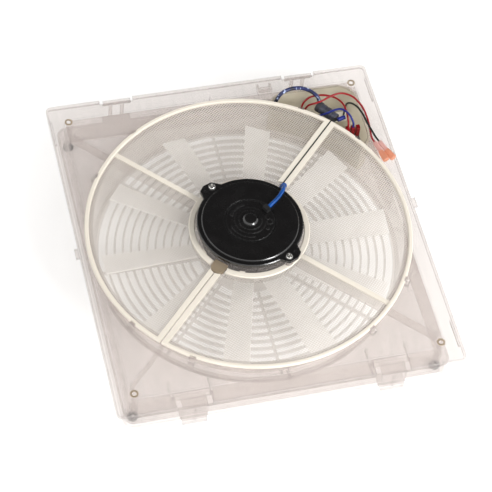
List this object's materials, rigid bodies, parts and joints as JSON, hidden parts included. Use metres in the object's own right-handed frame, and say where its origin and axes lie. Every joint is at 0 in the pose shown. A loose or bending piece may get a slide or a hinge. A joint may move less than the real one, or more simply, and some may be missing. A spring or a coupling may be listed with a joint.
{
  "type": "roof ventilator fan",
  "caption": "Square clear-plastic ventilator fan module with a paddle impeller under a round insect screen, a flat motor, hinged side latches and a corner wiring pod.",
  "frame": {"origin": "on the fan axis, on the plane of the tray's room-side rim", "axes": "+Z along the fan axis from the room towards the roof, +Y towards the two fixed hooks, -Y towards the two hinged latches"},
  "size_m": [0.376, 0.4045, 0.0684],
  "materials": {
    "clear_plastic": "clear moulded polycarbonate",
    "cream_plastic": "cream-white moulded plastic, low gloss",
    "screen_mesh": "woven insect screen",
    "beige_plastic": "smoky beige plastic, see-through",
    "black_enamel": "satin black enamel",
    "bearing_steel": "ground steel",
    "ferrite": "sintered ferrite",
    "screw_steel": "bright plated steel",
    "card_board": "phenolic board",
    "carbon": "carbon brush",
    "core_steel": "laminated steel",
    "copper_wire": "enamelled copper",
    "white_plastic": "translucent white plastic",
    "black_rubber": "soft black rubber",
    "smoke_plastic": "smoky olive plastic",
    "dark_plastic": "dark moulded plastic",
    "light_plastic": "off-white moulded plastic",
    "red_plastic": "red insulation",
    "ceramic": "white ceramic",
    "grey_plastic": "dark grey plastic",
    "blue_plastic": "blue insulation",
    "blue_sleeve": "blue sleeving",
    "navy_sleeve": "dark blue sleeving",
    "black_wire": "black insulation",
    "pink_plastic": "translucent pink sleeving",
    "orange_plastic": "orange-brown plastic"
  },
  "bodies": {
    "frame": {"lower_tray": "clear_plastic", "room_grille": "clear_plastic", "upper_frame": "clear_plastic", "fan_duct": "clear_plastic", "guard_half_left": "cream_plastic", "guard_half_right": "cream_plastic", "mesh_left": "screen_mesh", "mesh_right": "screen_mesh", "keyhole_cover": "beige_plastic", "motor_can": "black_enamel", "bearing_lower": "bearing_steel", "bearing_upper": "bearing_steel", "magnet_left": "ferrite", "magnet_right": "ferrite", "motor_end_cap": "black_enamel", "motor_screws": "screw_steel", "brush_card": "card_board", "brushes": "carbon", "brush_springs": "screw_steel", "corner_grommets": "black_rubber", "corner_washers": "beige_plastic", "control_pod": "smoke_plastic", "switch_body": "dark_plastic", "switch_terminals": "copper_wire", "terminal_sleeves": "red_plastic", "speed_control": "dark_plastic", "speed_resistor": "ceramic", "pod_screws": "screw_steel", "fuse_holder": "grey_plastic", "fuse_cap": "dark_plastic", "blue_crimp": "blue_plastic", "wire_clamp": "clear_plastic", "lead_sleeve": "blue_sleeve", "lead_grommet": "black_rubber", "lead_wires": "black_wire", "loop_sleeve": "navy_sleeve", "red_wire": "red_plastic", "black_wire": "black_wire", "red_link": "red_plastic", "speed_wire": "blue_plastic", "splice_sleeves": "pink_plastic", "splice_caps": "orange_plastic"},
    "rotor": {"motor_shaft": "bearing_steel", "armature_core": "core_steel", "armature_windings": "copper_wire", "commutator": "copper_wire", "impeller": "white_plastic", "hub_clip": "bearing_steel"},
    "latch_left": {"latch_clip_left": "clear_plastic"},
    "latch_right": {"latch_clip_right": "clear_plastic"},
    "rocker": {"switch_rocker": "light_plastic"},
    "dial": {"speed_shaft": "bearing_steel", "speed_knob": "light_plastic"}
  },
  "joints": [
    {"name": "fan_spin", "type": "hinge", "parent": "frame", "child": "rotor", "pos_m": [0, 0, 0.022], "axis": [0, 0, 1], "continuous": true},
    {"name": "latch_left_hinge", "type": "hinge", "parent": "frame", "child": "latch_left", "pos_m": [-0.1045, -0.187, 0.0446], "axis": [-1, 0, 0], "range_deg": [0, 75]},
    {"name": "latch_right_hinge", "type": "hinge", "parent": "frame", "child": "latch_right", "pos_m": [0.1045, -0.187, 0.0446], "axis": [-1, 0, 0], "range_deg": [0, 75]},
    {"name": "rocker_tilt", "type": "hinge", "parent": "frame", "child": "rocker", "pos_m": [0.15, 0.12, 0.006], "axis": [0, 1, 0], "range_deg": [-7, 7]},
    {"name": "dial_turn", "type": "hinge", "parent": "frame", "child": "dial", "pos_m": [0.108, 0.155, 0.002], "axis": [0, 0, -1], "range_deg": [0, 270]}
  ]
}
